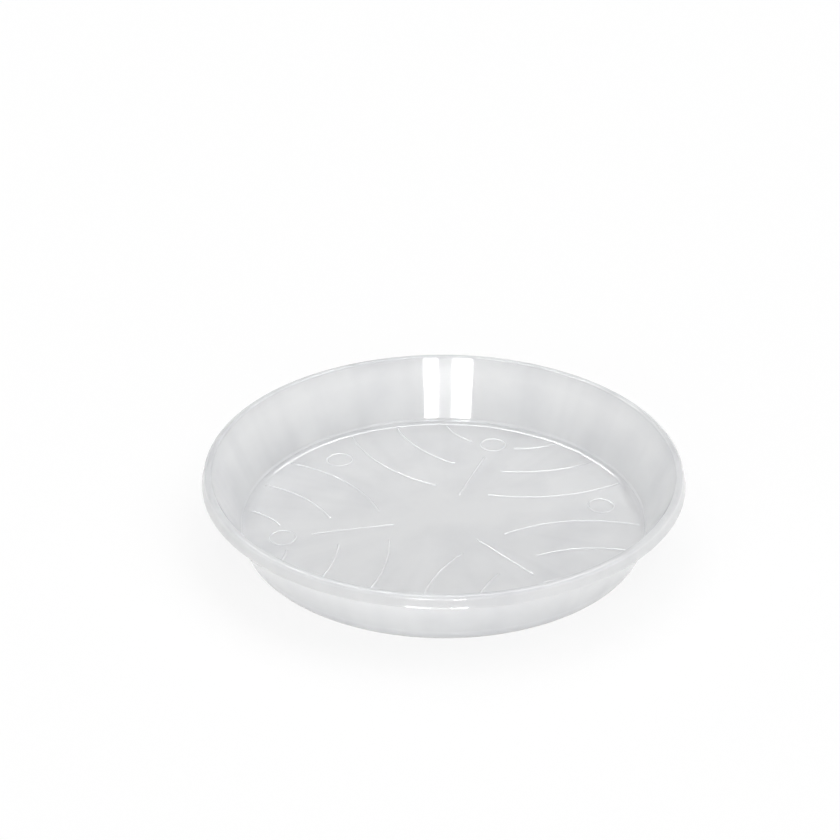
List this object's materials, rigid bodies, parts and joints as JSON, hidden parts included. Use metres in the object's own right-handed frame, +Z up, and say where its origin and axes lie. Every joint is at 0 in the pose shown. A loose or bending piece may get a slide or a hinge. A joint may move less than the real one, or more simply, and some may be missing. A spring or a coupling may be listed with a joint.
{
  "type": "plant saucer",
  "caption": "Round clear-plastic plant saucer with a flared side wall, a turned-down rim and low drainage ribs and rings on its floor.",
  "frame": {"origin": "middle of the foot ring, on the surface that the saucer stands on", "axes": "+Z up, out of the saucer's open mouth; +X to the right and +Y away in the picture"},
  "size_m": [0.25, 0.25, 0.0365],
  "materials": {
    "milky_plastic": "satin, milky see-through"
  },
  "bodies": {
    "root": {"floor_cove": "milky_plastic", "floor_disc": "milky_plastic", "foot_ring": "milky_plastic", "long_rib_1": "milky_plastic", "long_rib_2": "milky_plastic", "long_rib_3": "milky_plastic", "long_rib_4": "milky_plastic", "long_rib_5": "milky_plastic", "long_rib_6": "milky_plastic", "middle_rib_1": "milky_plastic", "middle_rib_2": "milky_plastic", "middle_rib_3": "milky_plastic", "middle_rib_4": "milky_plastic", "middle_rib_5": "milky_plastic", "middle_rib_6": "milky_plastic", "radial_rib_1": "milky_plastic", "radial_rib_2": "milky_plastic", "radial_rib_3": "milky_plastic", "raised_ring_1": "milky_plastic", "raised_ring_2": "milky_plastic", "raised_ring_3": "milky_plastic", "raised_ring_4": "milky_plastic", "raised_ring_5": "milky_plastic", "raised_ring_6": "milky_plastic", "rim_lip": "milky_plastic", "rim_skirt": "milky_plastic", "short_rib_1": "milky_plastic", "short_rib_2": "milky_plastic", "short_rib_3": "milky_plastic", "short_rib_4": "milky_plastic", "short_rib_5": "milky_plastic", "short_rib_6": "milky_plastic", "side_wall": "milky_plastic"}
  },
  "joints": []
}
